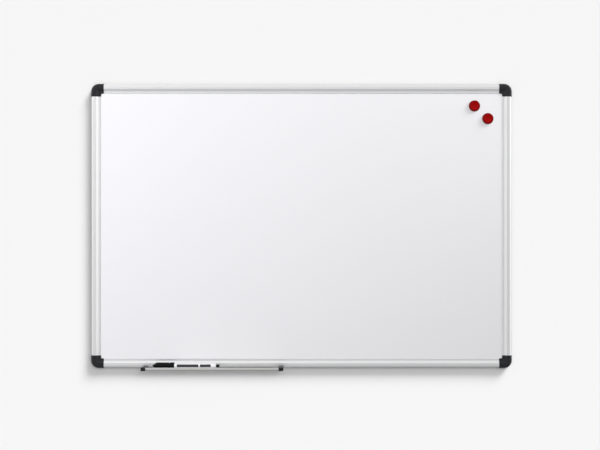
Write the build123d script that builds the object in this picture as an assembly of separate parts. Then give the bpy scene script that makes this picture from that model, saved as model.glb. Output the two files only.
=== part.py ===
from build123d import *
from math import hypot, sqrt
import os

# Wall-hung magnetic whiteboard with an aluminium frame, rounded plastic corners, a sliding pen tray,
# one capped dry marker and two round holding magnets.
#
# Millimetres. X runs along the board to the right, Z runs up, and the wall is the plane Y = 0, so the
# board faces -Y. The origin is the centre of the four wall-screw holes. Three local directions are used:
# "across" runs inwards from the outer edge of the frame, "out" runs from the wall towards the reader, and
# "along" runs with a bar.

os.makedirs("parts", exist_ok=True)

# Board, measured over the corner caps
board_width = 925.0
board_height = 625.0
cap_proud = 1.0
foot_height = 2.0

# Frame extrusion: one section for all four bars
face_width = 20.0
frame_depth = 17.0
frame_wall = 1.3
crown_radius = 6.0
slope_head = 10.5
slope_foot = 15.5
web_face = 10.9
slot_height = 10.7
flange_width = 18.0
lip_round = 0.6
edge_round = 0.4

# Accessory groove along the outer side of the extrusion
groove_inset = 7.2
groove_mouth = 2.2
groove_depth = 3.2
groove_wall = 1.1
toe_pocket = 1.6

# Panel in the slot: steel sheet, fibre core, backing sheet
sheet_thickness = 0.4
backing_thickness = 0.4
panel_play = 0.2
panel_gap = 0.6

# Corner brackets, hidden under the caps
bar_gap = 0.3
tenon_length = 28.0
tenon_play = 0.2
tip_length = 3.0
tip_taper = 0.6
bracket_clip = 6.0
screw_inset = 12.5
wall_hole_radius = 2.6
well_radius = 5.2
well_floor = 4.0
boss_wall = 1.3

# Corner caps
cap_arm = 28.0
cap_skin = 1.5
cap_gap = 0.3
cap_lip_over = 0.5
corner_radius = 17.0
notch_radius = 2.5
tip_radius = 1.0
pin_radius = 1.75
pin_fit = 0.05
pin_length = 7.0
pin_bore_spare = 1.0
pin_station = 22.0

# Screws that hold the bars on the brackets
screw_station = 14.0
shank_radius = 1.3
shank_length = 9.0
shank_fit = 0.05
hole_play = 0.15
head_radius = 2.7
head_height = 1.4
head_round = 0.6
recess_width = 0.7
recess_length = 2.8
recess_depth = 0.8

# Pen tray: an extrusion that hangs in the groove of the bottom bar
tray_length = 308.0
tray_from_left = 115.0
tray_reach = 66.0
tray_wall = 1.5
tray_lip_height = 7.0
tray_bend_radius = 4.0
tray_rear_margin = 1.0
slide_gap = 0.2
rail_play = 0.2
pen_rib_radius = 1.2
pen_rib_offset = 6.8
grip_rib_radius = 0.4
grip_rib_pitch = 2.4
grip_rib_count = 3

# Tray end caps
end_plate = 3.0
end_socket = 7.0
end_skirt = 0.7
end_rise = 0.8
end_flat_length = 16.0
end_rear_height = 3.0
end_slope_round = 20.0
end_fit = 0.1
end_gap = 0.5
end_top_radius = 1.5
end_edge_round = 0.6

# Dry marker, from the nose of its cap to its tail
marker_length = 145.5
marker_from_tray_end = 23.8
marker_out = 47.0
marker_rest_gap = 0.3
nose_radius = 2.0
nose_length = 1.2
nose_round = 0.8
shoulder_radius = 6.6
shoulder_length = 6.2
taper_length = 2.5
cap_body_radius = 7.3
cap_groove_radius = 6.8
cap_groove_length = 3.0
collar_length = 8.5
collar_radius = 7.5
marker_cap_length = 47.5
cap_bore_start = 11.5
flute_count = 12
flute_radius = 0.5
flute_margin = 1.5
barrel_radius = 5.4
barrel_step_gap = 0.3
barrel_bore = 4.1
barrel_nose_start = 25.0
barrel_nose_wall = 2.0
barrel_tail_radius = 4.6
barrel_tail_length = 4.0
sleeve_radius = 4.8
sleeve_fit = 0.08
tail_length = 7.4
tail_radius = 3.0
tail_round = 0.8
plug_depth = 12.0
nib_radius = 2.2
nib_tip_start = 14.0
nib_length = 34.0
nib_tip_round = 1.8
nib_round_share = 0.6
holder_start = 19.0
holder_tip_radius = 2.9
holder_neck_radius = 3.4
holder_flange_length = 6.0
inner_fit = 0.08
reservoir_start = 36.0
reservoir_gap = 2.0

# Holding magnets: (inset from the right edge, inset from the top edge)
magnet_places = {"upper": (82.3, 48.8), "lower": (52.9, 76.7)}
magnet_radius = 12.5
magnet_top_radius = 11.8
magnet_height = 7.5
magnet_round = 2.4
dish_radius = 7.9
dish_depth = 1.3
disc_radius = 7.8
disc_thickness = 3.0
disc_recess = 0.1
disc_fit = 0.08

# One overrun for every cut that passes through a face
overrun = 1.0

# A rounding takes at most this share of the wall that it ends on
round_limit_share = 0.95

# Places that follow from the sizes above
frame_width = board_width - 2 * cap_proud
frame_height = board_height - 2 * cap_proud
frame_bottom = -frame_height / 2
slot_top = frame_wall + slot_height
lip_top = slot_top + frame_wall
panel_back = foot_height + frame_wall
panel_front = panel_back + slot_height - panel_play
core_thickness = slot_height - panel_play - sheet_thickness - backing_thickness
panel_edge = web_face + panel_gap
crown_out = foot_height + frame_depth
arm_end = cap_arm - cap_proud
bar_start = arm_end + bar_gap
screw_across = screw_inset - cap_proud
boss_radius = well_radius + boss_wall
groove_block = groove_depth + groove_wall
groove_low = groove_inset - toe_pocket - groove_wall
groove_high = groove_inset + groove_mouth + groove_wall
spine_middle = (groove_block + web_face - frame_wall) / 2
slope_run = slope_foot - slope_head
slope_drop = frame_depth - lip_top
slope_ratio = slope_run / slope_drop
slope_stretch = hypot(slope_run, slope_drop) / slope_drop

# Corners in order round the board, each with the direction of its local X. One moulding fits all four,
# turned a quarter turn from corner to corner.
corners = {
    "bottom_left": (-1, -1, (1, 0, 0)),
    "bottom_right": (1, -1, (0, 0, 1)),
    "top_right": (1, 1, (-1, 0, 0)),
    "top_left": (-1, 1, (0, 0, -1)),
}
bars = {
    "bottom": ((0, -1), (0, 0, 1), (1, 0, 0), frame_width),
    "right": ((1, 0), (-1, 0, 0), (0, 0, 1), frame_height),
    "top": ((0, 1), (0, 0, -1), (-1, 0, 0), frame_width),
    "left": ((-1, 0), (1, 0, 0), (0, 0, -1), frame_height),
}


def save(node, *solids):
    """Writes one named piece, or one group of equal pieces, to its own file."""
    shape = solids[0] if len(solids) == 1 else Compound(children=list(solids))
    export_step(shape, f"parts/{node}.step")


def polygon(*points):
    """A face with straight edges through the points."""
    return make_face(Polyline(*points, close=True))


def round_corner(face, point, radius):
    """Rounds the corner of a flat face that lies nearest to the point."""
    corner = face.vertices().sort_by_distance(point)[0]
    return fillet(corner, radius)


def box_between(low, high):
    """A box from its lowest to its highest corner."""
    size = [b - a for a, b in zip(low, high)]
    middle = [(a + b) / 2 for a, b in zip(low, high)]
    return Pos(*middle) * Box(*size)


def rod(radius, start, length):
    """A round rod along local Z from start."""
    return Pos(0, 0, start + length / 2) * Cylinder(radius, length)


def extrusion_outline():
    """Outer form of the frame section: back flange, panel slot, lip, slope, crown and rounded side."""
    face = polygon(
        (0, 0),
        (flange_width, 0),
        (flange_width, frame_wall),
        (web_face, frame_wall),
        (web_face, slot_top),
        (face_width, slot_top),
        (face_width, lip_top),
        (slope_foot, lip_top),
        (slope_head, frame_depth),
        (0, frame_depth),
    )
    face = round_corner(face, (0, frame_depth), crown_radius)
    face = round_corner(face, (face_width, lip_top), lip_round)
    face = round_corner(face, (slope_foot, lip_top), edge_round)
    face = round_corner(face, (slope_head, frame_depth), edge_round)
    return round_corner(face, (0, 0), edge_round)


def extrusion_chamber():
    """The closed hollow of the section. It bends round the accessory groove and reaches under the slope."""
    shift = slope_head - frame_wall * slope_stretch
    face = polygon(
        (frame_wall, frame_wall),
        (web_face - frame_wall, frame_wall),
        (web_face - frame_wall, lip_top),
        (shift + slope_drop * slope_ratio, lip_top),
        (shift + frame_wall * slope_ratio, frame_depth - frame_wall),
        (frame_wall, frame_depth - frame_wall),
        (frame_wall, groove_high),
        (groove_block, groove_high),
        (groove_block, groove_low),
        (frame_wall, groove_low),
    )
    room = (frame_depth - frame_wall - groove_high) * round_limit_share
    radius = min(crown_radius - frame_wall, room)
    return round_corner(face, (frame_wall, frame_depth - frame_wall), radius)


def accessory_groove():
    """An undercut slot in the outer side, open outwards, that the toe of a tray rail hooks into."""
    return polygon(
        (-overrun, groove_inset),
        (frame_wall, groove_inset),
        (frame_wall, groove_inset - toe_pocket),
        (groove_depth, groove_inset - toe_pocket),
        (groove_depth, groove_inset + groove_mouth),
        (-overrun, groove_inset + groove_mouth),
    )


def frame_bar(side):
    """One bar of the frame, cut square between two corner brackets, with a screw hole near each end."""
    (right, up), across, along, span = bars[side]
    middle = (right * frame_width / 2, -foot_height, up * frame_height / 2)
    section = extrusion_outline() - extrusion_chamber() - accessory_groove()
    length = span - 2 * bar_start
    place = Plane(origin=middle, x_dir=across, z_dir=along)
    bar = extrude(section, length / 2, both=True)
    for end in (-1, 1):
        station = end * (length / 2 - screw_station)
        hole = Cylinder(shank_radius + hole_play, 2 * frame_wall + overrun)
        bar -= Pos(spine_middle, 0, station) * Rot(90, 0, 0) * hole
    return place * bar


def panel_layer(back, thickness):
    """One layer of the panel, with its corners cut off to clear the wells of the wall screws."""
    width = frame_width - 2 * panel_edge
    height = frame_height - 2 * panel_edge
    reach = 2 * screw_across + sqrt(2) * (boss_radius + panel_gap) - 2 * panel_edge
    face = chamfer(Rectangle(width, height).vertices(), reach)
    place = Plane(origin=(0, -back, 0), x_dir=(1, 0, 0), z_dir=(0, -1, 0))
    return place * extrude(face, thickness)


def corner_plane(corner):
    """The plane at one outer corner of the frame on the wall, with local Z out of the wall."""
    right, up, direction = corners[corner]
    origin = (right * frame_width / 2, 0, up * frame_height / 2)
    return Plane(origin=origin, x_dir=direction, z_dir=(0, -1, 0))


def outer_top_edges(solid, low, radius, top):
    """The edges that run round the outer side of an angle piece at its top face."""
    limit = low + radius / 2
    level = solid.edges().filter_by(lambda e: abs(e.center().Z - top) < overrun / 2)
    return level.filter_by(lambda e: min(e.center().X, e.center().Y) < limit)


def corner_form(inset, end, bottom, tips):
    """The contour of a corner cap, drawn in from its outer surface by the inset.

    It is an angle with a rounded outer corner. Its crown is rounded off outwards and slopes inwards to a
    lip, as the bars do, and the two slopes meet in a mitre.
    """
    rise = cap_proud - inset
    low = -rise
    notch = face_width + cap_lip_over - inset
    top = crown_out + rise
    lip = foot_height + lip_top + rise
    radius = corner_radius - inset
    outline = polygon((low, low), (end, low), (end, notch), (notch, notch), (notch, end), (low, end))
    outline = round_corner(outline, (low, low), radius)
    outline = round_corner(outline, (notch, notch), notch_radius)
    if tips:
        outline = round_corner(outline, (end, notch), tip_radius)
        outline = round_corner(outline, (notch, end), tip_radius)
    form = Pos(0, 0, bottom) * extrude(outline, top - bottom)
    form = fillet(outer_top_edges(form, low, radius, top), crown_radius + rise)
    shift = rise * (slope_stretch - slope_ratio)
    foot = slope_foot + shift
    head = slope_head + shift - overrun * slope_ratio
    far = end + overrun
    low_square = polygon((foot, foot), (far, foot), (far, far), (foot, far))
    high_square = polygon((head, head), (far, head), (far, far), (head, far))
    return form - loft([Pos(0, 0, lip) * low_square, Pos(0, 0, top + overrun) * high_square])


def corner_cap():
    """The clip-on cap: a contoured shell, open towards the wall and the bars, with two push-fit pins."""
    skirt = foot_height + cap_gap
    shell = corner_form(0, arm_end, skirt, True)
    shell -= corner_form(cap_skin, arm_end + overrun, -overrun, False)
    far = arm_end + 2 * overrun
    shell -= box_between((web_face, web_face, -overrun), (far, far, panel_front + cap_gap))
    ceiling = crown_out + cap_proud - cap_skin
    for x, y in pin_places():
        pin = rod(pin_radius, ceiling - pin_length, pin_length + cap_skin / 2)
        shell += Pos(x, y, 0) * pin
    return shell


def block_inset():
    """How far the bracket's block stays inside the frame's outer side, to clear the cap."""
    return cap_skin - cap_proud + cap_gap


def pin_places():
    """Centres of the two pins, one on each arm of the corner."""
    middle = (block_inset() + web_face - frame_wall) / 2
    station = pin_station - cap_proud
    return (station, middle), (middle, station)


def tenon_section(play):
    """The section of the bar's chamber drawn in by the play, on both sides of the groove."""
    low = frame_wall + play
    side = web_face - frame_wall - play
    top = frame_depth - frame_wall - play
    face = polygon(
        (low, low),
        (side, low),
        (side, top),
        (low, top),
        (low, groove_high + play),
        (groove_block + play, groove_high + play),
        (groove_block + play, groove_low - play),
        (low, groove_low - play),
    )
    room = (top - groove_high - play) * round_limit_share
    return round_corner(face, (low, top), min(crown_radius - low, room))


def tenon():
    """One tenon along local X, from inside the corner block to its tapered tip."""
    root = arm_end - overrun
    length = bar_gap + tenon_length + overrun
    full = tenon_section(tenon_play)
    tip = tenon_section(tenon_play + tip_taper)
    body = extrude(full, length - tip_length)
    body += loft([Pos(0, 0, length - tip_length) * full, Pos(0, 0, length) * tip], ruled=True)
    hole_start = frame_wall + shank_length
    hole = Cylinder(shank_radius + shank_fit, hole_start)
    body -= Pos(spine_middle, hole_start / 2, length - tenon_length + screw_station) * Rot(90, 0, 0) * hole
    place = Plane(origin=(root, 0, foot_height), x_dir=(0, 1, 0), z_dir=(1, 0, 0))
    return place * body


def corner_bracket():
    """The hidden corner: a foot on the wall, a block under the cap, two tenons and the wall-screw well."""
    low = -cap_proud
    inner = block_inset()
    side = web_face - frame_wall
    top = crown_out + cap_proud - cap_skin - cap_gap
    foot = polygon((low, low), (arm_end, low), (arm_end, arm_end), (low, arm_end))
    foot = round_corner(foot, (low, low), corner_radius)
    foot = chamfer(foot.vertices().sort_by_distance((arm_end, arm_end))[0], bracket_clip)
    bracket = extrude(foot, foot_height)
    seat = polygon((inner, inner), (arm_end, inner), (arm_end, arm_end), (inner, arm_end))
    seat = round_corner(seat, (inner, inner), corner_radius - cap_skin - cap_gap)
    seat = chamfer(seat.vertices().sort_by_distance((arm_end, arm_end))[0], bracket_clip)
    bracket += extrude(seat, panel_back)
    angle = polygon(
        (inner, inner), (arm_end, inner), (arm_end, side), (side, side), (side, arm_end), (inner, arm_end)
    )
    radius = corner_radius - cap_skin - cap_gap
    angle = round_corner(angle, (inner, inner), radius)
    block = extrude(angle, top)
    crown = crown_radius + cap_proud - cap_skin - cap_gap
    block = fillet(outer_top_edges(block, inner, radius, top), crown)
    bracket += block
    bracket += Pos(screw_across, screw_across, 0) * rod(boss_radius, 0, panel_front)
    arm = tenon()
    bracket += arm
    bracket += mirror(arm, Plane(origin=(0, 0, 0), z_dir=(1, -1, 0)))
    well = rod(well_radius, well_floor, top)
    bracket -= Pos(screw_across, screw_across, 0) * well
    bracket -= Pos(screw_across, screw_across, 0) * rod(wall_hole_radius, -overrun, top)
    depth = pin_length + pin_bore_spare
    for x, y in pin_places():
        bracket -= Pos(x, y, 0) * rod(pin_radius + pin_fit, top - depth, depth + overrun)
    return bracket


def bracket_screw():
    """A small pan-head screw along local Z, head down, with a cross recess."""
    head = rod(head_radius, -head_height, head_height)
    head = fillet(head.edges().sort_by(Axis.Z)[0], head_round)
    for angle in (0, 90):
        slot = Box(recess_length, recess_width, 2 * recess_depth)
        head -= Pos(0, 0, -head_height) * Rot(0, 0, angle) * slot
    return head + rod(shank_radius, 0, shank_length)


def bracket_screws():
    """Two screws at each corner, one into each tenon, all from the back."""
    screws = []
    reach = bar_start + screw_station
    for corner in corners:
        for x, y in ((reach, spine_middle), (spine_middle, reach)):
            screws.append(corner_plane(corner) * Pos(x, y, foot_height) * bracket_screw())
    return screws


def tray_plane(right):
    """The plane across the tray at a place along X: local X runs out of the wall, local Y runs up."""
    return Plane(origin=(right, 0, 0), x_dir=(0, -1, 0), z_dir=(-1, 0, 0))


tray_left = -board_width / 2 + tray_from_left
tray_right = tray_left + tray_length
tray_floor = frame_bottom - slide_gap
tray_bottom = tray_floor - tray_wall
tray_lip_top = tray_bottom + tray_lip_height
tray_rear = foot_height + tray_rear_margin


def tray_section():
    """Floor, front lip, and the rail with its toe that hangs in the groove of the bottom bar."""
    rail_low = foot_height + groove_inset + rail_play
    rail_high = foot_height + groove_inset + groove_mouth - rail_play
    toe = foot_height + groove_inset - toe_pocket + rail_play
    rail_top = frame_bottom + groove_depth - rail_play
    toe_under = frame_bottom + frame_wall + rail_play
    lip_back = tray_reach - tray_wall
    face = polygon(
        (tray_rear, tray_bottom),
        (tray_reach, tray_bottom),
        (tray_reach, tray_lip_top),
        (lip_back, tray_lip_top),
        (lip_back, tray_floor),
        (rail_high, tray_floor),
        (rail_high, rail_top),
        (toe, rail_top),
        (toe, toe_under),
        (rail_low, toe_under),
        (rail_low, tray_floor),
        (tray_rear, tray_floor),
    )
    face = round_corner(face, (tray_reach, tray_bottom), tray_bend_radius)
    face = round_corner(face, (lip_back, tray_floor), tray_bend_radius - tray_wall)
    face = round_corner(face, (tray_reach, tray_lip_top), tray_wall / 2 - end_fit)
    face = round_corner(face, (lip_back, tray_lip_top), tray_wall / 2 - end_fit)
    for out, radius in tray_ribs():
        face += Pos(out, tray_floor) * Circle(radius)
    return face


def tray_ribs():
    """Half-round ribs on the floor: two that stop the pen from rolling, and finer ones beside them."""
    ribs = [(marker_out - pen_rib_offset, pen_rib_radius), (marker_out + pen_rib_offset, pen_rib_radius)]
    for step in range(grip_rib_count):
        apart = pen_rib_offset + (step + 1) * grip_rib_pitch
        ribs.append((marker_out - apart, grip_rib_radius))
        ribs.append((marker_out + apart, grip_rib_radius))
    return ribs


def pen_tray():
    """The tray extrusion between its end caps."""
    length = tray_length - 2 * end_plate
    return tray_plane(tray_right - end_plate) * extrude(tray_section(), length)


def tray_end_cap(left):
    """A moulded end: a plate whose top falls towards the bar, and a socket that the tray is pushed into."""
    low = tray_bottom - end_skirt
    high = tray_lip_top + end_rise
    front = tray_reach + end_skirt
    bar_face = crown_out + end_gap
    flat_start = front - end_flat_length
    rear_high = tray_floor + end_rear_height
    outline = polygon(
        (tray_rear, low),
        (front, low),
        (front, high),
        (flat_start, high),
        (bar_face, rear_high),
        (tray_rear, rear_high),
    )
    outline = round_corner(outline, (front, low), tray_bend_radius + end_skirt)
    outline = round_corner(outline, (front, high), end_top_radius)
    outline = round_corner(outline, (flat_start, high), end_slope_round)
    under = frame_bottom - end_gap
    above = high + crown_radius
    clear = polygon((-overrun, under), (bar_face, under), (bar_face, above), (-overrun, above))
    clear = round_corner(clear, (bar_face, under), crown_radius + end_gap)
    width = end_plate + end_socket
    cap = extrude(outline - clear, width)
    plate_side = cap.faces().sort_by(Axis.Z)[-1 if left else 0]
    cap = fillet(plate_side.edges(), end_edge_round)
    socket = offset(tray_section(), end_fit, kind=Kind.INTERSECTION)
    start = -overrun if left else end_plate
    cap -= Pos(0, 0, start) * extrude(socket, end_socket + overrun)
    return tray_plane(tray_left + width if left else tray_right) * cap


def spin(*points):
    """A turned piece: a profile of (along, radius) points, revolved round local X."""
    return revolve(polygon(*points), Axis.X)


marker_place = Pos(
    tray_left + marker_from_tray_end,
    -marker_out,
    tray_floor + marker_rest_gap + collar_radius,
)
barrel_end = marker_length - tail_length


def marker_cap():
    """The pen cap: blunt nose, steep shoulder, short taper, fluted grip, a groove and a plain collar."""
    shoulder = nose_length + shoulder_length
    taper_end = shoulder + taper_length
    collar = marker_cap_length - collar_length
    groove = collar - cap_groove_length
    bore = sleeve_radius + sleeve_fit
    cap = spin(
        (0, 0),
        (0, nose_radius - nose_round),
        (nose_round, nose_radius),
        (nose_length, nose_radius),
        (shoulder, shoulder_radius),
        (taper_end, cap_body_radius),
        (groove, cap_body_radius),
        (groove, cap_groove_radius),
        (collar, cap_groove_radius),
        (collar, collar_radius),
        (marker_cap_length, collar_radius),
        (marker_cap_length, bore),
        (cap_bore_start, bore),
        (cap_bore_start, 0),
    )
    flute_length = groove - taper_end - 2 * flute_margin
    flute = Rot(0, 90, 0) * Cylinder(flute_radius, flute_length)
    middle = (groove + taper_end) / 2
    for step in range(flute_count):
        turn = Rot(360 * step / flute_count, 0, 0)
        cap -= turn * Pos(middle, 0, cap_body_radius + flute_radius / 2) * flute
    return marker_place * cap


def marker_barrel():
    """The pen body: a sleeve that the cap pushes on to, a straight barrel and a tapered tail."""
    start = barrel_nose_start
    step = marker_cap_length + barrel_step_gap
    neck = holder_neck_radius + inner_fit
    barrel = spin(
        (start, neck),
        (start, sleeve_radius - edge_round),
        (start + edge_round, sleeve_radius),
        (step, sleeve_radius),
        (step, barrel_radius - edge_round),
        (step + edge_round, barrel_radius),
        (barrel_end - barrel_tail_length, barrel_radius),
        (barrel_end, barrel_tail_radius),
        (barrel_end, barrel_bore),
        (start + barrel_nose_wall, barrel_bore),
        (start + barrel_nose_wall, neck),
    )
    return marker_place * barrel


def marker_end_plug():
    """The tail: a plug pushed into the barrel, with a slimmer rounded stub behind it."""
    plug = barrel_bore - inner_fit
    return marker_place * spin(
        (barrel_end - plug_depth, 0),
        (barrel_end - plug_depth, plug),
        (barrel_end, plug),
        (barrel_end, tail_radius),
        (marker_length - tail_round, tail_radius),
        (marker_length, tail_radius - tail_round),
        (marker_length, 0),
    )


def marker_nib_holder():
    """The cone that grips the nib, with a flange behind the barrel's nose wall."""
    flange = barrel_nose_start + barrel_nose_wall
    bore = nib_radius + inner_fit
    outer = barrel_bore - inner_fit
    return marker_place * spin(
        (holder_start, bore),
        (holder_start, holder_tip_radius),
        (barrel_nose_start, holder_neck_radius),
        (flange, holder_neck_radius),
        (flange, outer),
        (flange + holder_flange_length, outer),
        (flange + holder_flange_length, bore),
    )


def marker_nib():
    """The bullet nib, whose tail reaches into the reservoir."""
    blunt = nib_radius - nib_tip_round
    end = nib_tip_start + nib_length
    return marker_place * spin(
        (nib_tip_start, 0),
        (nib_tip_start, blunt),
        (nib_tip_start + nib_tip_round / 2, blunt + nib_tip_round * nib_round_share),
        (nib_tip_start + nib_tip_round, nib_radius),
        (end, nib_radius),
        (end, 0),
    )


def ink_reservoir():
    """The fibre wick that holds the ink, bored at the front for the nib."""
    outer = barrel_bore - inner_fit
    bore = nib_radius + inner_fit
    end = barrel_end - plug_depth - reservoir_gap
    depth = nib_tip_start + nib_length + inner_fit
    return marker_place * spin(
        (reservoir_start, bore),
        (reservoir_start, outer),
        (end, outer),
        (end, 0),
        (depth, 0),
        (depth, bore),
    )


def magnet_plane(which):
    """The plane of the writing face under one magnet, with local Z out of the board."""
    from_right, from_top = magnet_places[which]
    place = (board_width / 2 - from_right, -panel_front, board_height / 2 - from_top)
    return Plane(origin=place, x_dir=(1, 0, 0), z_dir=(0, -1, 0))


def magnet_shell():
    """The plastic body: a low tapered drum with a rounded rim, a dished top and a pocket below."""
    drum = Cone(magnet_radius, magnet_top_radius, magnet_height)
    drum = Pos(0, 0, magnet_height / 2) * drum
    drum = fillet(drum.edges().sort_by(Axis.Z)[-1], magnet_round)
    ball = (dish_radius**2 + dish_depth**2) / (2 * dish_depth)
    drum -= Pos(0, 0, magnet_height - dish_depth + ball) * Sphere(ball)
    return drum - rod(disc_radius + disc_fit, -overrun, disc_thickness + disc_recess + overrun)


def magnet_disc():
    """The ferrite disc glued into the pocket, a hair short of the board."""
    return rod(disc_radius, disc_recess, disc_thickness)


save("backing_sheet", panel_layer(panel_back, backing_thickness))
save("core_board", panel_layer(panel_back + backing_thickness, core_thickness))
save("writing_surface", panel_layer(panel_front - sheet_thickness, sheet_thickness))
for side in bars:
    save(f"frame_bar_{side}", frame_bar(side))
one_bracket = corner_bracket()
one_cap = corner_cap()
for corner in corners:
    save(f"corner_bracket_{corner}", corner_plane(corner) * one_bracket)
    save(f"corner_cap_{corner}", corner_plane(corner) * one_cap)
save("bracket_screws", *bracket_screws())
save("pen_tray", pen_tray())
save("tray_end_cap_left", tray_end_cap(True))
save("tray_end_cap_right", tray_end_cap(False))
save("marker_cap", marker_cap())
save("marker_barrel", marker_barrel())
save("marker_end_plug", marker_end_plug())
save("marker_nib_holder", marker_nib_holder())
save("marker_nib", marker_nib())
save("ink_reservoir", ink_reservoir())
for which in magnet_places:
    save(f"magnet_shell_{which}", magnet_plane(which) * magnet_shell())
    save(f"magnet_disc_{which}", magnet_plane(which) * magnet_disc())
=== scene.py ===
import math

import bpy
import numpy as np
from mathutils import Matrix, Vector


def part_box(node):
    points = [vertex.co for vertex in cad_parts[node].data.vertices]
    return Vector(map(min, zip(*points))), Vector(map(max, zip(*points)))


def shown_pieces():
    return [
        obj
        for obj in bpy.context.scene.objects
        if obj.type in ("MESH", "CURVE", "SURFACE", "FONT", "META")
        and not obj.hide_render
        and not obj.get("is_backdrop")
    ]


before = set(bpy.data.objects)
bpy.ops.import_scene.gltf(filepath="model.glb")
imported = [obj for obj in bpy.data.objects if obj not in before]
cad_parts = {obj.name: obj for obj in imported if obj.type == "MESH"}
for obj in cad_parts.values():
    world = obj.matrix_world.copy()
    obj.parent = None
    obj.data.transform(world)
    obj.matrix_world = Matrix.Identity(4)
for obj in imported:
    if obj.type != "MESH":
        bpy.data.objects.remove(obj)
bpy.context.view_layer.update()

# The camera looks squarely at the board. The board's centre lies a little right of and below the middle
# of the picture, so the camera stands that far to its left and above it.
LENS_MM = 78.5
SENSOR_MM = 36.0
CAMERA_PLACE = (-0.0032, -2.8906, 0.0021)

# The room: a wall that the board hangs on, swept in a quarter circle into a floor
WALL_Y = 0.0005
WALL_TOP = 2.4
WALL_HALF_WIDTH = 4.0
FLOOR_Z = -1.25
FLOOR_REACH = 5.0
SWEEP_RADIUS = 0.35
SWEEP_LINES = 13
WALL_GREY = 0.915
# The room's grey by how far its surface faces up: darker in the bend, where the lamps meet it squarely
ROOM_GREYS = ((0.0, WALL_GREY), (0.5, 0.72), (0.72, 0.69), (0.88, 0.71), (1.0, 0.88))

# Light levels. A sky or a sun of level 1 makes white paper that faces it white, and a panel of level 1 is
# itself as bright as that paper.
SKY_LEVEL = 0.11
BROAD_LEVEL = 0.35
SHADOW_SUN_LEVEL = 0.91
TRAY_SUN_LEVEL = 0.105
REAR_SUN_LEVEL = 0.80
NEAR_PANEL_LEVEL = 7.05
FAR_PANEL_LEVEL = 14.3

# Directions that the suns come from, and how many degrees each spreads
BROAD_FROM = (0.0, -1.0, 0.0)
SHADOW_SUN_FROM = (1.0, -1.0, 1.5)
TRAY_SUN_FROM = (0.3, -1.0, 0.32)
REAR_SUN_FROM = (-0.15, 1.0, 0.25)
BROAD_SPREAD = 70.0
SHADOW_SUN_SPREAD = 25.0
TRAY_SUN_SPREAD = 16.0
REAR_SUN_SPREAD = 32.0

# The two soft panels in front of the board: a near one at the upper right, a far one at the upper left
NEAR_PANEL_PLACE = (1.36, -0.65, 1.03)
NEAR_PANEL_SIZE = (0.8, 0.8)
NEAR_PANEL_COLOUR = (1.0, 1.0, 1.0)
FAR_PANEL_PLACE = (-1.4, -2.4, 0.8)
FAR_PANEL_SIZE = (1.6, 1.2)
FAR_PANEL_COLOUR = (0.985, 0.975, 1.0)

# What shiny things mirror: grey levels by height, from straight down at 0 to straight up at 1, and by
# side, from left to right. The wall below the board lies in its shadow, so a soft dark patch stands there.
# It takes the share SHADE_DEPTH of the light away, and fades out between two cosines of the angle from
# its middle.
HEIGHT_GREYS = ((0.0, 0.64), (0.30, 0.56), (0.44, 0.58), (0.62, 1.04), (1.0, 1.00))
SIDE_GREYS = ((0.0, 1.36), (0.25, 1.08), (0.42, 1.12), (0.57, 0.78), (0.80, 1.06), (1.0, 1.90))
SHADE_FROM = (-0.15, 0.64, -0.75)
SHADE_EDGE = (0.50, 0.95)
SHADE_DEPTH = 0.5

# The plain bars printed on the pen, in metres: how far their ends lie before the barrel's tail, and their
# lowest and highest lines above its axis
BAR_ENDS = ((0.0849, 0.0381), (0.0347, 0.0113))
BAR_HEIGHT = (-0.0024, 0.0034)
BAR_INK = (0.035, 0.036, 0.042)

# How far from a magnet's axis a painted shade starts to darken its red, and where that painted shade is
# darkest. It stands in for the shade that falls on the drum's rim and wall.
MAGNET_PAINTED_SHADE_SPAN = (0.0085, 0.0115)
MAGNET_FACE_RED = (0.27, 0.001, 0.001)
MAGNET_PAINTED_SHADE_RED = (0.15, 0.0005, 0.0005)

# Most of a noise's values lie between these two
NOISE_BAND = (0.3, 0.7)

CORNERS = ("bottom_left", "bottom_right", "top_right", "top_left")
FRAME_SILVER = (0.80, 0.805, 0.81)
TRAY_SILVER = (0.60, 0.60, 0.585)
CAP_BLACK = (0.005, 0.0052, 0.0065)
BRACKET_BLACK = (0.055, 0.056, 0.06)
PEN_BLACK = (0.0020, 0.0020, 0.0023)

# How the names of the tray's and the pen's pieces begin
TRAY_AND_PEN = ("pen_tray", "tray_", "marker_", "ink_")


def feed(tree, value, socket):
    """Set a socket to a number or a colour, or link it to another socket."""
    if isinstance(value, tuple):
        socket.default_value = (*value, 1.0)
    elif isinstance(value, (int, float)):
        socket.default_value = value
    else:
        tree.links.new(value, socket)


def worked(tree, operation, *values):
    """The result of one step of arithmetic on numbers and sockets."""
    made = tree.nodes.new("ShaderNodeMath")
    made.operation = operation
    for value, socket in zip(values, made.inputs):
        feed(tree, value, socket)
    return made.outputs["Value"]


def mixed_shaders(tree, factor, first, second):
    """The first shader where the factor is 0, the second where it is 1."""
    made = tree.nodes.new("ShaderNodeMixShader")
    for value, socket in zip((factor, first, second), made.inputs):
        feed(tree, value, socket)
    return made.outputs["Shader"]


def graded(tree, value, spots):
    """A grey that changes smoothly with a value; the spots give (value from 0 to 1, grey)."""
    made = tree.nodes.new("ShaderNodeValToRGB")
    ramp = made.color_ramp
    ramp.interpolation = "EASE"
    while len(ramp.elements) < len(spots):
        ramp.elements.new(0.5)
    for element, (at, grey) in zip(ramp.elements, spots):
        element.position = at
        element.color = (grey, grey, grey, 1.0)
    feed(tree, value, made.inputs["Fac"])
    return made.outputs["Color"]


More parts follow.
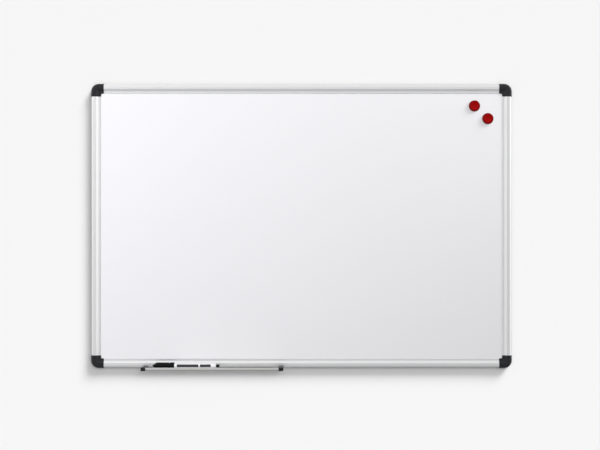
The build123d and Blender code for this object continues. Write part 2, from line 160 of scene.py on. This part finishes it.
class Finish:
    """A Principled material whose texture nodes are added by short calls.

    Textures follow the place in metres, so a scale is about the number of their features in a metre.
    """

    def __init__(self, name, colour, roughness, metal=0.0, shine=0.5):
        self.material = bpy.data.materials.new(name)
        self.material.use_nodes = True
        self.tree = self.material.node_tree
        self.shader = self.tree.nodes["Principled BSDF"]
        self.colour = colour
        self.roughness = roughness
        feed(self.tree, colour, self.shader.inputs["Base Color"])
        feed(self.tree, roughness, self.shader.inputs["Roughness"])
        feed(self.tree, metal, self.shader.inputs["Metallic"])
        feed(self.tree, shine, self.shader.inputs["Specular IOR Level"])
        self.place = self.node("ShaderNodeTexCoord").outputs["Object"]

    def node(self, kind, **values):
        made = self.tree.nodes.new(kind)
        for key, value in values.items():
            setattr(made, key, value)
        return made

    def link(self, source, target):
        self.tree.links.new(source, target)

    def stretched(self, scale, shift=(0.0, 0.0, 0.0), turn=(0.0, 0.0, 0.0)):
        """The place, scaled by axis, turned and shifted."""
        made = self.node("ShaderNodeMapping")
        made.inputs["Location"].default_value = shift
        made.inputs["Rotation"].default_value = turn
        made.inputs["Scale"].default_value = scale
        self.link(self.place, made.inputs["Vector"])
        return made.outputs["Vector"]

    def noise(self, vector, scale=1.0, detail=3.0, rough=0.5):
        made = self.node("ShaderNodeTexNoise")
        for key, value in (("Scale", scale), ("Detail", detail), ("Roughness", rough)):
            made.inputs[key].default_value = value
        self.link(vector, made.inputs["Vector"])
        return made.outputs["Fac"]

    def cells(self, vector, scale):
        """A Voronoi texture: a distance from the nearest of many points, and a colour for each point."""
        made = self.node("ShaderNodeTexVoronoi")
        made.inputs["Scale"].default_value = scale
        self.link(vector, made.inputs["Vector"])
        return made

    def crystals(self, vector, scale):
        """A shade of its own for each cell."""
        tone = self.node("ShaderNodeSeparateColor")
        self.link(self.cells(vector, scale).outputs["Color"], tone.inputs["Color"])
        return tone.outputs["Red"]

    def ranged(self, value, low, high, start=0.0, end=1.0):
        """A value from start to end carried over to low to high, and held there beyond."""
        made = self.node("ShaderNodeMapRange")
        for key, number in (("From Min", start), ("From Max", end), ("To Min", low), ("To Max", high)):
            made.inputs[key].default_value = number
        self.link(value, made.inputs["Value"])
        return made.outputs["Result"]

    def combine(self, operation, *values):
        return worked(self.tree, operation, *values)

    def weighted(self, *layers):
        """The sum of values, each times its weight."""
        total = 0.0
        for value, weight in layers:
            total = self.combine("MULTIPLY_ADD", value, weight, total)
        return total

    def between(self, value, low, high):
        """1 where a value lies between two others, else 0."""
        above = self.combine("GREATER_THAN", value, low)
        return self.combine("MULTIPLY", above, self.combine("LESS_THAN", value, high))

    def mixed(self, factor, first, second):
        """The first colour where the factor is 0, the second where it is 1."""
        made = self.node("ShaderNodeMix", data_type="RGBA")
        self.link(factor, made.inputs["Factor"])
        colours = [socket for socket in made.inputs if socket.type == "RGBA"]
        for value, socket in zip((first, second), colours):
            feed(self.tree, value, socket)
        return [socket for socket in made.outputs if socket.type == "RGBA"][0]

    def paint(self, factor, first, second):
        """Colour the surface from the first colour to the second. None stands for the paint that it has."""
        target = self.shader.inputs["Base Color"]
        if first is None:
            first = target.links[0].from_socket
        self.link(self.mixed(factor, first, second), target)

    def vary_colour(self, factor, darkest, lightest):
        """Shades of the finish's own colour, between two shares of it."""
        first, second = (tuple(min(1.0, c * share) for c in self.colour) for share in (darkest, lightest))
        self.paint(factor, first, second)

    def vary_roughness(self, factor, less, more, band=(0.0, 1.0)):
        """Roughness from less to more than the finish's own, as the factor crosses the band."""
        varied = self.ranged(factor, self.roughness - less, self.roughness + more, *band)
        self.link(varied, self.shader.inputs["Roughness"])

    def bump(self, height, strength, distance):
        """One more layer of relief, on top of those before it."""
        made = self.node("ShaderNodeBump")
        made.inputs["Strength"].default_value = strength
        made.inputs["Distance"].default_value = distance
        self.link(height, made.inputs["Height"])
        target = self.shader.inputs["Normal"]
        if target.is_linked:
            self.link(target.links[0].from_socket, made.inputs["Normal"])
        self.link(made.outputs["Normal"], target)


def lengthwise(axis, along, across):
    """Scales by axis for a texture drawn out along one of them."""
    return tuple(along if other == axis else across for other in range(3))


def middle_of(node):
    low, high = (Vector(corner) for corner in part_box(node))
    return (low + high) / 2


def lacquer():
    """White lacquered steel: a faint orange peel, and the dull streaks that a dry cloth leaves."""
    f = Finish("white_lacquer", (0.80, 0.80, 0.81), roughness=0.36)
    wiped = f.noise(f.stretched((2.0, 2.0, 5.0), turn=(0.0, 0.5, 0.0)), scale=2.0, rough=0.6)
    f.paint(wiped, (0.792, 0.792, 0.803), (0.808, 0.808, 0.817))
    f.vary_roughness(wiped, less=0.04, more=0.04)
    f.bump(f.noise(f.place, scale=520.0, detail=2.0), strength=0.04, distance=0.0001)
    return f.material


def drawn_aluminium(name, axis, colour, roughness, metal=0.8):
    """Satin anodised extrusion, with die lines that run along one axis and a slightly milky oxide skin."""
    f = Finish(name, colour, roughness, metal)
    fine = f.noise(f.stretched(lengthwise(axis, along=1.2, across=900.0)), detail=4.0, rough=0.65)
    broad = f.noise(f.stretched(lengthwise(axis, along=0.264, across=198.0)), detail=2.0)
    lines = f.weighted((fine, 0.5), (broad, 0.5))
    f.vary_colour(f.ranged(lines, 0.0, 1.0, *NOISE_BAND), darkest=0.94, lightest=1.05)
    f.vary_roughness(lines, less=0.05, more=0.06, band=NOISE_BAND)
    f.bump(lines, strength=0.10, distance=0.00015)
    f.bump(f.noise(f.place, scale=1500.0, detail=2.0), strength=0.05, distance=0.00005)
    return f.material


def galvanised():
    """Zinc-coated sheet: flat crystals about a centimetre across, feathered, each with its own shade."""
    f = Finish("galvanised_sheet", (0.60, 0.62, 0.63), roughness=0.42, metal=1.0)
    flat = f.stretched((1.0, 0.2, 1.0))
    feather = f.noise(flat, scale=620.0, detail=4.0, rough=0.7)
    shade = f.weighted((f.crystals(flat, 95.0), 0.55), (f.crystals(flat, 240.0), 0.20), (feather, 0.25))
    f.paint(shade, (0.52, 0.54, 0.555), (0.66, 0.68, 0.69))
    f.vary_roughness(shade, less=0.06, more=0.08)
    f.bump(f.noise(f.stretched((30.0, 30.0, 900.0))), strength=0.06, distance=0.0001)
    return f.material


def fibreboard():
    """Pressed wood fibre: short pale and dark fibres, rough all over."""
    f = Finish("fibre_core", (0.50, 0.39, 0.26), roughness=0.85)
    fibres = f.noise(f.stretched((500.0, 900.0, 500.0)), detail=6.0, rough=0.7)
    clumps = f.noise(f.place, scale=120.0)
    shade = f.ranged(f.weighted((fibres, 0.5), (clumps, 0.5)), 0.0, 1.0, *NOISE_BAND)
    f.paint(shade, (0.36, 0.26, 0.16), (0.62, 0.50, 0.35))
    f.bump(fibres, strength=0.5, distance=0.0002)
    return f.material


def grained_plastic(name, colour, roughness, grain, shine=0.3):
    """Moulded plastic with a fine spark-eroded grain and a slight cloudiness."""
    f = Finish(name, colour, roughness, shine=shine)
    f.vary_colour(f.noise(f.place, scale=60.0), darkest=0.85, lightest=1.18)
    pits = f.noise(f.place, scale=grain, rough=0.6)
    f.vary_roughness(pits, less=0.06, more=0.08)
    f.bump(pits, strength=0.22, distance=0.0001)
    return f.material


def polished_plastic(name, colour, roughness, shine=0.3):
    """Glossy moulded plastic: barely wavy, with hairline scuffs in the gloss.

    It is handed back as a Finish, so that more paint can be put on it.
    """
    f = Finish(name, colour, roughness, shine=shine)
    wave = f.noise(f.place, scale=160.0, detail=2.0)
    scuffs = f.noise(f.stretched((220.0, 2600.0, 2600.0)), detail=4.0, rough=0.7)
    f.vary_colour(wave, darkest=0.92, lightest=1.12)
    f.vary_roughness(scuffs, less=0.05, more=0.10, band=(0.35, 0.75))
    f.bump(wave, strength=0.05, distance=0.0002)
    return f


def printed_barrel():
    """The white pen barrel with two plain dark bars printed along its front.

    A bar shows on the front half, where the place along the pen and the height lie within its limits.
    """
    f = polished_plastic("marker_white", (0.78, 0.78, 0.77), roughness=0.30)
    axis = middle_of("marker_barrel")
    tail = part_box("marker_barrel")[1][0]
    split = f.node("ShaderNodeSeparateXYZ")
    f.link(f.place, split.inputs["Vector"])
    along, depth, height = split.outputs
    front = f.combine("LESS_THAN", depth, axis.y)
    level = f.between(height, *(axis.z + above for above in BAR_HEIGHT))
    bars = [f.between(along, *(tail - before for before in ends)) for ends in BAR_ENDS]
    ink = f.combine("MULTIPLY", f.combine("MULTIPLY", f.combine("MAXIMUM", *bars), level), front)
    f.paint(ink, None, BAR_INK)
    return f.material


def magnet_red(node):
    """Deep red polished plastic, with painted shade: the drum's wall and rim are painted a darker red than
    its face, standing in for the shade that falls on them.

    The painted shade follows the distance from the magnet's own axis, which runs along Y.
    """
    f = polished_plastic(f"red_{node}", MAGNET_FACE_RED, roughness=0.34, shine=0.12)
    axis = middle_of(node)
    away = f.node("ShaderNodeVectorMath", operation="LENGTH")
    f.link(f.stretched((1.0, 0.0, 1.0), shift=(-axis.x, 0.0, -axis.z)), away.inputs[0])
    # Painted shade: the red darkens towards the rim, standing in for the shade on the drum's rim and wall
    f.paint(f.ranged(away.outputs["Value"], 0.0, 1.0, *MAGNET_PAINTED_SHADE_SPAN), None, MAGNET_PAINTED_SHADE_RED)
    return f.material


def zinc_screw():
    """Bright zinc plate with a fine uneven gloss and a faint warm and cool bloom."""
    f = Finish("screw_zinc", (0.70, 0.70, 0.67), roughness=0.30, metal=1.0)
    f.paint(f.noise(f.place, scale=350.0, detail=2.0), (0.66, 0.67, 0.68), (0.74, 0.72, 0.62))
    pits = f.noise(f.place, scale=2600.0)
    f.vary_roughness(pits, less=0.06, more=0.10)
    f.bump(pits, strength=0.12, distance=0.00005)
    return f.material


def inked_fibre(name, colour):
    """Bundled fibres that run along the pen, dark with ink."""
    f = Finish(name, colour, roughness=0.9)
    strands = f.noise(f.stretched(lengthwise(0, along=60.0, across=3200.0)))
    f.vary_colour(strands, darkest=0.6, lightest=1.6)
    f.bump(strands, strength=0.5, distance=0.0001)
    return f.material


def ferrite():
    """Ferrite: dull dark grey with a fine speckle and ground marks."""
    f = Finish("ferrite", (0.06, 0.06, 0.062), roughness=0.6)
    speck = f.cells(f.place, 2500.0).outputs["Distance"]
    f.paint(speck, (0.045, 0.045, 0.047), (0.085, 0.085, 0.088))
    f.bump(f.noise(f.stretched((400.0, 400.0, 3500.0))), strength=0.2, distance=0.00005)
    return f.material


def dress(finish, *nodes):
    for node in nodes:
        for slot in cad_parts[node].material_slots:
            slot.material = finish


def dress_panel():
    dress(lacquer(), "writing_surface")
    dress(fibreboard(), "core_board")
    dress(galvanised(), "backing_sheet")


def dress_frame():
    lying = drawn_aluminium("frame_lying", 0, FRAME_SILVER, roughness=0.36)
    standing = drawn_aluminium("frame_standing", 2, FRAME_SILVER, roughness=0.36)
    hidden = grained_plastic("bracket_plastic", BRACKET_BLACK, roughness=0.55, grain=1500.0)
    dress(lying, "frame_bar_top", "frame_bar_bottom")
    dress(standing, "frame_bar_left", "frame_bar_right")
    dress(hidden, *(f"corner_bracket_{corner}" for corner in CORNERS))
    dress(zinc_screw(), "bracket_screws")


def dress_tray_and_caps():
    silver = drawn_aluminium("tray_metal", 0, TRAY_SILVER, roughness=0.38, metal=0.55)
    black = grained_plastic("corner_plastic", CAP_BLACK, roughness=0.40, grain=2300.0, shine=0.38)
    dress(silver, "pen_tray")
    dress(black, *(f"corner_cap_{corner}" for corner in CORNERS), "tray_end_cap_left", "tray_end_cap_right")


def dress_pen():
    black = polished_plastic("marker_black", PEN_BLACK, roughness=0.22, shine=0.14)
    holder = polished_plastic("holder_black", (0.02, 0.02, 0.021), roughness=0.35)
    dress(black.material, "marker_cap", "marker_end_plug")
    dress(printed_barrel(), "marker_barrel")
    dress(holder.material, "marker_nib_holder")
    dress(inked_fibre("nib_fibre", (0.018, 0.018, 0.02)), "marker_nib")
    dress(inked_fibre("wick_fibre", (0.05, 0.05, 0.055)), "ink_reservoir")


def dress_magnets():
    for shell in ("magnet_shell_upper", "magnet_shell_lower"):
        dress(magnet_red(shell), shell)
    dress(ferrite(), "magnet_disc_upper", "magnet_disc_lower")


def room_paint():
    """Matt paint, graded by how far the surface faces up, and nothing at all on the surface's far side."""
    material = bpy.data.materials.new("room_paint")
    material.use_nodes = True
    tree = material.node_tree
    tree.nodes.clear()
    surface = tree.nodes.new("ShaderNodeNewGeometry")
    split = tree.nodes.new("ShaderNodeSeparateXYZ")
    tree.links.new(surface.outputs["Normal"], split.inputs["Vector"])
    paint = tree.nodes.new("ShaderNodeBsdfDiffuse")
    tree.links.new(graded(tree, split.outputs["Z"], ROOM_GREYS), paint.inputs["Color"])
    gone = tree.nodes.new("ShaderNodeBsdfTransparent")
    shown = mixed_shaders(tree, surface.outputs["Backfacing"], paint.outputs["BSDF"], gone.outputs["BSDF"])
    out = tree.nodes.new("ShaderNodeOutputMaterial")
    tree.links.new(shown, out.inputs["Surface"])
    return material


def room():
    """The wall and floor as one sweep: a profile in Y and Z, carried along X.

    Its points run down the wall, round a quarter circle and out over the floor, once along each side edge.
    It shows only to the camera, and from the room side alone, so that the back of the board can be seen.
    """
    bend = np.linspace(0.0, math.pi / 2, SWEEP_LINES)
    y = np.concatenate(([WALL_Y], WALL_Y - SWEEP_RADIUS * (1.0 - np.cos(bend)), [WALL_Y - FLOOR_REACH]))
    z = np.concatenate(([WALL_TOP], FLOOR_Z + SWEEP_RADIUS * (1.0 - np.sin(bend)), [FLOOR_Z]))
    x = np.array([-WALL_HALF_WIDTH, WALL_HALF_WIDTH])
    rows = len(y)
    points = np.stack([np.repeat(x, rows), np.tile(y, 2), np.tile(z, 2)], axis=1)
    row = np.arange(rows - 1)
    faces = np.stack([row, row + 1, row + 1 + rows, row + rows], axis=1)
    mesh = bpy.data.meshes.new("room_sweep")
    mesh.from_pydata(points.tolist(), [], faces.tolist())
    mesh.polygons.foreach_set("use_smooth", np.ones(len(mesh.polygons), dtype=bool))
    mesh.materials.append(room_paint())
    sweep = bpy.data.objects.new("room_sweep", mesh)
    bpy.context.scene.collection.objects.link(sweep)
    sweep.visible_diffuse = False
    sweep.visible_glossy = False
    sweep.visible_transmission = False
    sweep.visible_shadow = False
    sweep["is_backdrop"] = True
    return sweep


def glow(tree, colour, strength):
    """A sky of one colour."""
    made = tree.nodes.new("ShaderNodeBackground")
    feed(tree, colour, made.inputs["Color"])
    feed(tree, strength, made.inputs["Strength"])
    return made.outputs["Background"]


def patch(tree, way, source, edge):
    """1 where a direction points at the source, falling smoothly to 0 between the edge's two cosines."""
    towards = tree.nodes.new("ShaderNodeVectorMath")
    towards.operation = "DOT_PRODUCT"
    towards.inputs[1].default_value = Vector(source).normalized()
    tree.links.new(way, towards.inputs[0])
    made = tree.nodes.new("ShaderNodeMapRange")
    made.interpolation_type = "SMOOTHSTEP"
    made.inputs["From Min"].default_value, made.inputs["From Max"].default_value = edge
    tree.links.new(towards.outputs["Value"], made.inputs["Value"])
    return made.outputs["Result"]


def studio_greys(tree):
    """A plain studio: a grey by height times a grey by side, less a soft dark patch."""
    way = tree.nodes.new("ShaderNodeTexCoord").outputs["Generated"]
    split = tree.nodes.new("ShaderNodeSeparateXYZ")
    tree.links.new(way, split.inputs["Vector"])
    by_axis = []
    for axis, greys in (("Z", HEIGHT_GREYS), ("X", SIDE_GREYS)):
        share = worked(tree, "MULTIPLY_ADD", split.outputs[axis], 0.5, 0.5)
        by_axis.append(graded(tree, share, greys))
    left = worked(tree, "MULTIPLY_ADD", patch(tree, way, SHADE_FROM, SHADE_EDGE), -SHADE_DEPTH, 1.0)
    return worked(tree, "MULTIPLY", worked(tree, "MULTIPLY", *by_axis), left)


def sky():
    """Pale light from all round, and a flat pale grey where the camera looks past the room.

    Shiny things mirror the studio's greys where the camera sees them. Light that a dull surface has
    scattered meets the pale light instead.
    """
    world = bpy.data.worlds.new("studio")
    bpy.context.scene.world = world
    world.use_nodes = True
    tree = world.node_tree
    tree.nodes.clear()
    white = (1.0, 1.0, 1.0)
    light = glow(tree, white, SKY_LEVEL)
    mirrored = glow(tree, white, studio_greys(tree))
    seen = glow(tree, (WALL_GREY, WALL_GREY, WALL_GREY), 1.0)
    rays = tree.nodes.new("ShaderNodeLightPath").outputs
    shiny = worked(tree, "MAXIMUM", rays["Is Glossy Ray"], rays["Is Transmission Ray"])
    not_scattered = worked(tree, "LESS_THAN", rays["Diffuse Depth"], 0.5)
    gloss = worked(tree, "MULTIPLY", shiny, not_scattered)
    lit = mixed_shaders(tree, gloss, light, mirrored)
    out = tree.nodes.new("ShaderNodeOutputWorld")
    tree.links.new(mixed_shaders(tree, rays["Is Camera Ray"], lit, seen), out.inputs["Surface"])


def listed(name, objects):
    """A collection of objects that a lamp lights, or that stop its light."""
    made = bpy.data.collections.new(name)
    for obj in objects:
        made.objects.link(obj)
    return made


def without(*beginnings):
    """All pieces but those whose names begin in one of these ways."""
    return [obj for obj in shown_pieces() if not obj.name.startswith(beginnings)]


def hung(name, kind, place, receivers, blockers):
    """A lamp that faces the board's centre. It gives no mirror image: the sky alone does that."""
    light = bpy.data.lights.new(name, kind)
    lamp = bpy.data.objects.new(name, light)
    lamp.location = place
    lamp.rotation_euler = (-Vector(place)).to_track_quat("-Z", "Y").to_euler()
    lamp.visible_glossy = False
    lamp.visible_camera = False
    lamp.light_linking.receiver_collection = receivers
    if blockers:
        lamp.light_linking.blocker_collection = blockers
    bpy.context.scene.collection.objects.link(lamp)
    return light


def sun(name, level, spread, source, receivers, blockers=None):
    light = hung(name, "SUN", source, receivers, blockers)
    light.energy = level * math.pi
    light.angle = math.radians(spread)


def soft_panel(name, level, place, size, colour, receivers, blockers=None):
    light = hung(name, "AREA", place, receivers, blockers)
    light.shape = "RECTANGLE"
    light.size, light.size_y = size
    light.color = colour
    light.energy = level * math.pi * light.size * light.size_y


def lamps(sweep):
    """Lamps for the wall alone and for the board alone, so that each has its own level.

    The wall has a broad light from the front and two suns from the upper right; the board has two panels
    and a sun from behind. Of the wall's lamps, the tray and the pen stop only the tray sun, so their shadow
    on it is faint. The far panel passes through them and the magnets, so their shadow on the face is faint
    too.
    """
    wall = listed("wall", [sweep])
    board = listed("board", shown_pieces())
    large = listed("large", without(*TRAY_AND_PEN))
    fixed = listed("fixed", without(*TRAY_AND_PEN, "magnet_"))
    sun("wall_broad", BROAD_LEVEL, BROAD_SPREAD, BROAD_FROM, wall, large)
    sun("wall_sun", SHADOW_SUN_LEVEL, SHADOW_SUN_SPREAD, SHADOW_SUN_FROM, wall, large)
    sun("tray_sun", TRAY_SUN_LEVEL, TRAY_SUN_SPREAD, TRAY_SUN_FROM, wall)
    sun("rear_sun", REAR_SUN_LEVEL, REAR_SUN_SPREAD, REAR_SUN_FROM, board)
    near = (NEAR_PANEL_LEVEL, NEAR_PANEL_PLACE, NEAR_PANEL_SIZE, NEAR_PANEL_COLOUR)
    far = (FAR_PANEL_LEVEL, FAR_PANEL_PLACE, FAR_PANEL_SIZE, FAR_PANEL_COLOUR)
    soft_panel("near_panel", *near, board)
    soft_panel("far_panel", *far, board, fixed)


def camera():
    """The camera looks straight at the wall, along +Y."""
    eye = bpy.data.cameras.new("camera")
    eye.lens = LENS_MM
    eye.sensor_width = SENSOR_MM
    obj = bpy.data.objects.new("camera", eye)
    obj.location = CAMERA_PLACE
    obj.rotation_euler = (math.pi / 2, 0.0, 0.0)
    bpy.context.scene.collection.objects.link(obj)
    bpy.context.scene.camera = obj


bpy.context.scene.view_settings.view_transform = "Standard"
dress_panel()
dress_frame()
dress_tray_and_caps()
dress_pen()
dress_magnets()
sweep = room()
sky()
lamps(sweep)
camera()
